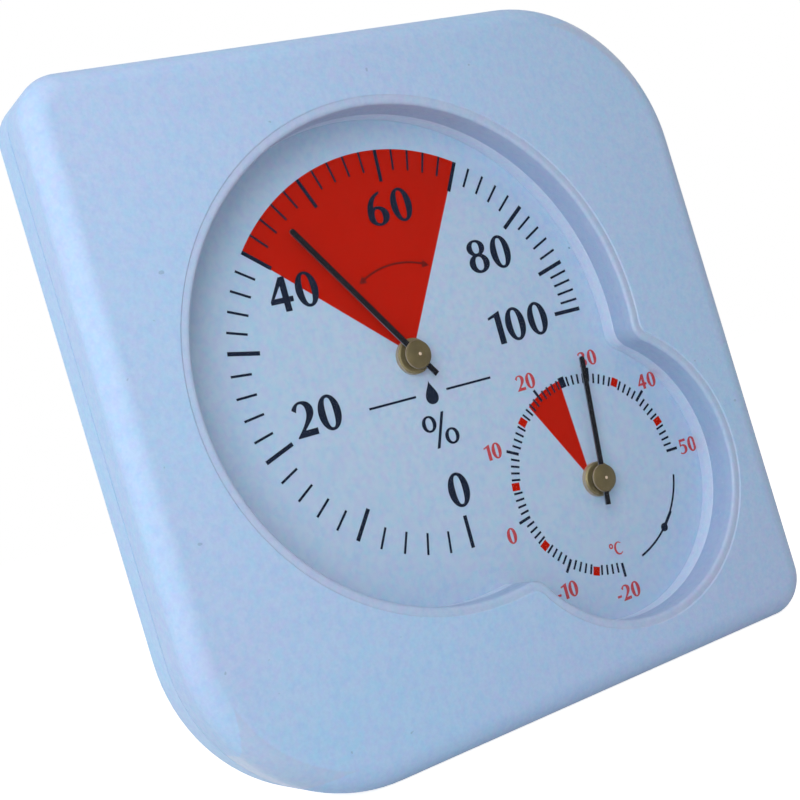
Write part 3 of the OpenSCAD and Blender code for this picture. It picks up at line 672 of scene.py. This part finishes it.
def stroke(points, width):
    """Quads of one width along a line of points."""
    last = len(points) - 1
    sides = []
    for i, p in enumerate(points):
        way = (points[min(i + 1, last)] - points[max(i - 1, 0)]).normalized()
        across = Vector((-way.y, way.x)) * (width / 2)
        sides.append((p - across, p + across))
    return [[a[0], b[0], b[1], a[1]] for a, b in zip(sides, sides[1:])]


def curve(*points, n):
    """Points along a chain of cubic curves: start, then two handles and an end for each."""
    points = [Vector(p) for p in points]
    out = [points[0]]
    for k in range(1, len(points), 3):
        p0, p1, p2, p3 = points[k - 1:k + 3]
        for i in range(1, n + 1):
            t = i / n
            u = 1 - t
            out.append(p0 * u ** 3 + p1 * 3 * u * u * t + p2 * 3 * u * t * t + p3 * t ** 3)
    return out


def oval_line(cx, cy, rx, ry, start, end, steps):
    """Points along part of an oval, between two directions in degrees."""
    turns = (math.radians(start + (end - start) * i / steps) for i in range(steps + 1))
    return [Vector((cx + rx * math.cos(a), cy + ry * math.sin(a))) for a in turns]


def squared(cx, cy, rx, ry, power=2.0):
    """Closed oval; a power above 2 gives it straighter sides."""
    points = []
    for i in range(40):
        a = math.tau * i / 40
        c, v = math.cos(a), math.sin(a)
        points.append(Vector((cx + rx * math.copysign(abs(c) ** (2 / power), c),
                              cy + ry * math.copysign(abs(v) ** (2 / power), v))))
    return points


def band(outer, inner):
    """Quads between two closed outlines of the same number of points."""
    n = len(outer)
    return [[outer[i], outer[(i + 1) % n], inner[(i + 1) % n], inner[i]] for i in range(n)]


def strip(side_a, side_b):
    """Quads between two open lines of the same number of points."""
    return [[side_a[i], side_a[i + 1], side_b[i + 1], side_b[i]] for i in range(len(side_a) - 1)]


def shape(*points):
    return [Vector(p) for p in points]


def glyph(char, bold=0.0):
    """(convex shapes, width) of a character, one unit high. bold thickens its strokes."""
    b = bold
    if char == "0":
        return band(squared(0.35, 0.5, 0.35, 0.505), squared(0.35, 0.5, 0.125 - b, 0.418 - b / 2, 2.5)), 0.70
    if char == "1":
        return [shape((0.225 - b, 0), (0.435, 0), (0.435, 0.995), (0.225 - b, 0.86)),
                shape((0.0, 0.775 - b), (0.23, 0.83 - b), (0.435, 0.995), (0.0, 0.845))], 0.435
    if char == "2":
        outer = curve((0.0, 0.80), (0.07, 0.92), (0.18, 0.995), (0.31, 0.995),
                      (0.51, 0.995), (0.645, 0.87), (0.645, 0.70),
                      (0.645, 0.50), (0.46, 0.38), (0.265, 0.175), n=12)
        inner = curve((0.125, 0.705 - b), (0.15, 0.82), (0.20, 0.92 - b / 2), (0.27, 0.92 - b / 2),
                      (0.36, 0.92 - b / 2), (0.42 - b, 0.84), (0.42 - b, 0.70),
                      (0.42 - b, 0.48), (0.24, 0.28), (0.0, 0.035), n=12)
        foot = shape((0.0, 0.0), (0.64, 0.01), (0.645, 0.19 + b / 2), (0.22, 0.185), (0.0, 0.04))
        return strip(outer, inner) + [foot], 0.645
    if char == "3":
        high_out = curve((0.03, 0.86), (0.10, 0.95), (0.20, 0.995), (0.32, 0.995),
                         (0.50, 0.995), (0.60, 0.89), (0.60, 0.77),
                         (0.60, 0.64), (0.48, 0.56), (0.34, 0.52), n=10)
        high_in = curve((0.10, 0.78 - b), (0.16, 0.87), (0.21, 0.915), (0.27, 0.915 - b / 2),
                        (0.35, 0.915 - b / 2), (0.40 - b, 0.85), (0.40 - b, 0.76),
                        (0.40 - b, 0.64), (0.32, 0.57), (0.17, 0.545 - b / 2), n=10)
        low_out = curve((0.20, 0.54), (0.48, 0.55), (0.64, 0.45), (0.64, 0.29),
                        (0.64, 0.11), (0.48, 0.0), (0.25, 0.0),
                        (0.14, 0.0), (0.06, 0.03), (0.0, 0.08), n=10)
        low_in = curve((0.17, 0.47 - b / 2), (0.34, 0.47), (0.43 - b, 0.41), (0.43 - b, 0.28),
                       (0.43 - b, 0.15), (0.34, 0.08 + b / 2), (0.22, 0.08 + b / 2),
                       (0.15, 0.08), (0.09, 0.11), (0.04, 0.16 + b), n=10)
        return strip(high_out, high_in) + strip(low_out, low_in), 0.66
    if char == "4":
        return [shape((0.383 - b, 0), (0.578, 0), (0.578, 0.99), (0.383 - b, 0.975)),
                shape((0.0, 0.25), (0.695, 0.25), (0.705, 0.405 + b / 2), (0.035, 0.405 + b / 2)),
                shape((0.0, 0.25), (0.12 + b, 0.385), (0.40, 0.76 - b), (0.40, 0.99), (0.0, 0.345))], 0.70
    if char == "5":
        top = shape((0.09, 0.83 - b / 2), (0.60, 0.83 - b / 2), (0.61, 0.99), (0.09, 0.99))
        side = shape((0.06, 0.52), (0.15 + b, 0.56), (0.19 + b, 0.99), (0.09, 0.99))
        out = curve((0.06, 0.54), (0.14, 0.62), (0.22, 0.64), (0.31, 0.64),
                    (0.51, 0.64), (0.63, 0.51), (0.63, 0.34),
                    (0.63, 0.13), (0.47, 0.0), (0.24, 0.0),
                    (0.14, 0.0), (0.06, 0.03), (0.0, 0.08), n=10)
        inn = curve((0.08, 0.50 - b / 2), (0.14, 0.55), (0.20, 0.565), (0.26, 0.56 - b / 2),
                    (0.36, 0.55), (0.42 - b, 0.46), (0.42 - b, 0.33),
                    (0.42 - b, 0.18), (0.34, 0.08 + b / 2), (0.21, 0.08 + b / 2),
                    (0.14, 0.08), (0.08, 0.11), (0.04, 0.16 + b), n=10)
        return [top, side] + strip(out, inn), 0.64
    if char == "6":
        back_out = curve((0.55, 1.0), (0.22, 0.93), (0.0, 0.68), (0.0, 0.30), n=14)
        back_in = curve((0.535, 0.925), (0.33, 0.85), (0.215, 0.62), (0.21, 0.30), n=14)
        bowl = band(squared(0.352, 0.285, 0.352, 0.29), squared(0.345, 0.28, 0.127 - b, 0.205 - b / 2, 2.3))
        return strip(back_out, back_in) + bowl, 0.70
    if char == "8":
        high = band(squared(0.345, 0.757, 0.312, 0.245), squared(0.345, 0.76, 0.12, 0.172, 2.3))
        low = band(squared(0.352, 0.287, 0.352, 0.292), squared(0.352, 0.285, 0.137, 0.205, 2.3))
        return high + low, 0.705
    if char == "-":
        return [shape((0.0, 0.29), (0.32, 0.29), (0.32, 0.43), (0.0, 0.43))], 0.32
    if char == "%":
        left = band(squared(0.236, 0.737, 0.236, 0.243), squared(0.236, 0.737, 0.113, 0.181, 2.2))
        right = band(squared(0.88, 0.255, 0.236, 0.238), squared(0.88, 0.255, 0.116, 0.177, 2.2))
        slash = shape((0.29, 0), (0.385, 0), (0.803, 1.0), (0.71, 1.0))
        return left + right + [slash], 1.116
    if char == "o":
        return band(squared(0.19, 0.80, 0.19, 0.20), squared(0.19, 0.80, 0.085, 0.085)), 0.38
    if char == "C":
        out = oval_line(0.44, 0.5, 0.42, 0.5, 42, 318, 30)
        inn = oval_line(0.50, 0.5, 0.30, 0.40, 52, 308, 30)
        return strip(out, inn), 0.72
    raise ValueError(char)


def write(text, centre, height, gap=0.12, bold=0.0):
    """Shapes of the text with its middle at centre."""
    shapes, x = [], 0.0
    for char in text:
        made, width = glyph(char, bold)
        shapes += [[(p.x + x, p.y) for p in one] for one in made]
        x += width + gap
    shift = (x - gap) / 2
    return [
        [Vector((centre[0] + (px - shift) * height, centre[1] + (py - 0.5) * height)) for px, py in one]
        for one in shapes
    ]


def printed(name, shapes, look, height):
    """Ink laid on the card: the shapes as one thin closed piece."""
    solid = flat_solid([[on_print(*p) for p in one] for one in shapes], CARD_TOP, CARD_TOP + height)
    make_piece(name, solid, look, "case", smooth=False)


# Angles of the hygrometer's scale every 10 per cent, as printed: it is not even
HYGRO_SCALE = (-90.3, -126.7, -160.0, -190.5, -218.8, -246.4, -273.3, -299.5, -324.2, -344.7, -359.7)

# Each kind of tick: its inner and outer end in shares of UNIT, and its width
TEN_PER_CENT = (0.839, 1.0, 0.76)
TWO_PER_CENT = (0.895, 1.0, 0.44)
TEN_DEGREES = (0.476, 0.548, 0.55)
FIVE_DEGREES = (0.477, 0.522, 1.5)
AT_25 = (0.470, 0.525, 1.4)
ONE_DEGREE = (0.468, 0.518, 0.4)

black, red, pale, dark = [], [], [], []
for start, end in zip(HYGRO_SCALE, HYGRO_SCALE[1:]):
    black.append(tick(start, TEN_PER_CENT))
    black += [tick(start + (end - start) * i / 5, TWO_PER_CENT) for i in range(1, 5)]
black.append(tick(HYGRO_SCALE[-1], TEN_PER_CENT))

DIGIT = 6.5
for text, spot in (
        ("0", (0.15, -27.2)), ("20", (-23.9, -7.26)), ("40", (-21.9, 15.2)), ("60", (2.06, 27.1)),
        ("80", (20.9, 14.5)), ("100", (23.3, 0.23)), ("%", (-0.15, -15.6))):
    black += write(text, spot, DIGIT)

# Thermometer: a tick for each degree, clockwise from -20 straight below to 50 at the right
for degree in range(-20, 51):
    if degree % 10 == 0:
        layer, kind = black, TEN_DEGREES
    elif degree == 25:
        layer, kind = black, AT_25
    elif degree % 5 == 0:
        layer, kind = red, FIVE_DEGREES
    else:
        layer, kind = black, ONE_DEGREE
    layer.append(tick(-90 - (degree + 20) * 270 / 70, kind, THERMO_RING))

SMALL = 3.06
SIGN = 2.6
for text, spot in (
        ("-20", (31.1, -55.8)), ("-10", (17.3, -51.6)), ("0", (8.63, -38.4)), ("10", (9.63, -22.2)),
        ("20", (21.0, -11.1)), ("30", (36.7, -9.78)), ("40", (49.5, -17.2)), ("50", (55.2, -32.1))):
    pale += write(text, spot, SMALL, 0.10, 0.02)
pale += write("oC", (30.9, -47.2), SIGN, 0.02)

# The red fields; their points lie a little beside the middles of the rings
red += sector(Vector((-1.55, -0.72)), arc_line(UNIT, 60.5, 141.2, 48))
red += sector(THERMO_RING + Vector((-1.58, -0.84)), arc_line(0.512 * UNIT, 97.9, 124.9, 16, THERMO_RING))

# A drop between two rules
ROW_Y = -8.56
RULE_FROM, RULE_TO, RULE_W = 3.4, 13.5, 0.42
for side in (-1, 1):
    black += stroke([Vector((side * RULE_FROM, ROW_Y)), Vector((side * RULE_TO, ROW_Y))], RULE_W)
drop = curve((0, ROW_Y + 2.3), (0.35, ROW_Y + 1.2), (1.35, ROW_Y + 0.3), (1.35, ROW_Y - 0.75),
             (1.35, ROW_Y - 1.6), (0.75, ROW_Y - 2.1), (0, ROW_Y - 2.1),
             (-0.75, ROW_Y - 2.1), (-1.35, ROW_Y - 1.6), (-1.35, ROW_Y - 0.75),
             (-1.35, ROW_Y + 0.3), (-0.35, ROW_Y + 1.2), (0, ROW_Y + 2.3), n=8)
black += sector(Vector((0, ROW_Y - 0.7)), drop)

# A double-headed arrow in the red field
LINE_W = 0.4
ARROW_R = 16.4
ARROW_ENDS = (70, 116)
HEAD_SWEEP = 5.5  # degrees that a head takes up
HEAD_HALF_W = 0.85
dark += stroke(arc_line(ARROW_R, *ARROW_ENDS, 24), LINE_W)
for end, way in zip(ARROW_ENDS, (-1, 1)):
    dark.append([polar(ARROW_R - HEAD_HALF_W, end), polar(ARROW_R + HEAD_HALF_W, end),
                 polar(ARROW_R, end + way * HEAD_SWEEP)])

# A curved rule with a small thermometer, where the thermometer's ring is open
RULE_R = 18.9
SMALL_ONE_AT = -44.5  # degrees
BULB_R = 0.85
STEM_W = 0.62
for start, end in ((-74, -51), (-38, -15)):
    black += stroke(arc_line(RULE_R, start, end, 12, THERMO_RING), LINE_W)
outward = polar(1, SMALL_ONE_AT)
along = Vector((-outward.y, outward.x))
middle = THERMO_RING + outward * RULE_R
bulb = middle - along * 1.5
black += sector(bulb, arc_line(BULB_R, 0, 360, 20, bulb))
black += stroke([bulb, middle + along * 2.2], STEM_W)

printed("dial_print_red", red, ink_red, INK_T)
printed("dial_print_numerals", pale, ink_pale_red, INK_T)
printed("dial_print_black", black, ink_black, INK_OVER_T)
printed("dial_print_arrow", dark, ink_on_red, INK_OVER_T)

scene = bpy.context.scene
scene.view_settings.view_transform = "Standard"

WHITE = (1, 1, 1, 1)

# The camera and reflections see a white room; the light from all sides is weaker and warmer
world = bpy.data.worlds.new("studio")
world.use_nodes = True
scene.world = world
sky = Nodes(world.node_tree)
ambient = sky.add("Background", Color=(1.15, 0.97, 0.88, 1), Strength=0.36)
backdrop = sky.add("Background", Color=WHITE, Strength=1.0)
sky.add("OutputWorld", Surface=sky.mixed(sky.seen(), ambient, backdrop).outputs[0])

# The floor glows for the camera, so that it is as white as the room but keeps its shadows
floor_look = bpy.data.materials.new("floor")
floor_look.use_nodes = True
ground = Nodes(floor_look.node_tree)
grey = ground.add("BsdfDiffuse", Color=(0.72, 0.72, 0.72, 1))
glow = ground.add("Emission", Color=WHITE, Strength=0.82)
lit = ground.add("AddShader", _0=grey.outputs[0], _1=glow.outputs[0])
ground.add("OutputMaterial", Surface=ground.mixed(ground.seen(), grey, lit).outputs[0])

FLOOR_HALF = 3  # metres
floor_mesh = bpy.data.meshes.new("floor")
corners = [(sx * FLOOR_HALF, sy * FLOOR_HALF, 0) for sx, sy in ((-1, -1), (1, -1), (1, 1), (-1, 1))]
floor_mesh.from_pydata(corners, [], [(0, 1, 2, 3)])
floor_mesh.materials.append(floor_look)
floor = bpy.data.objects.new("floor", floor_mesh)
scene.collection.objects.link(floor)

TARGET = Vector((0, -0.008, 0.065))  # metres in the row frame, near the middle of the face


def lamp(name, direction, distance, size, share):
    """Square area lamp that gives that share of a plain level to a surface facing it at the target."""
    data = bpy.data.lights.new(name, "AREA")
    data.shape = "SQUARE"
    data.size = size
    data.energy = share * math.pi ** 2 * distance ** 2
    obj = bpy.data.objects.new(name, data)
    way = Vector(direction).normalized()
    obj.location = TARGET + way * distance
    obj.rotation_mode = "QUATERNION"
    obj.rotation_quaternion = way.to_track_quat("Z", "Y")
    scene.collection.objects.link(obj)


lamp("key", (-0.6, -0.75, 0.31), 0.33, 0.24, 0.62)
lamp("top", (-0.1, -0.3, 1.0), 0.6, 0.5, 0.24)
lamp("fill", (-1.0, 0.15, 0.05), 0.6, 0.6, 0.58)

# The camera that was fitted to the photograph, in metres in the row frame
CAMERA_AT = (-0.14378, -0.23950, 0.05938)
RIGHT = (0.8334458, -0.4718922, -0.2875514)
UP = (0.2440609, -0.1525217, 0.9576907)
BACK = (-0.4957846, -0.8683633, -0.0119481)
camera_data = bpy.data.cameras.new("camera")
camera_data.lens = 67.109
camera_data.sensor_width = 36
camera_data.clip_start = 0.01
camera_data.clip_end = 20
camera = bpy.data.objects.new("camera", camera_data)
axes = Matrix((RIGHT, UP, BACK)).transposed().to_4x4()
camera.matrix_world = Matrix.Translation(CAMERA_AT) @ axes
scene.collection.objects.link(camera)
scene.camera = camera

bpy.context.view_layer.update()
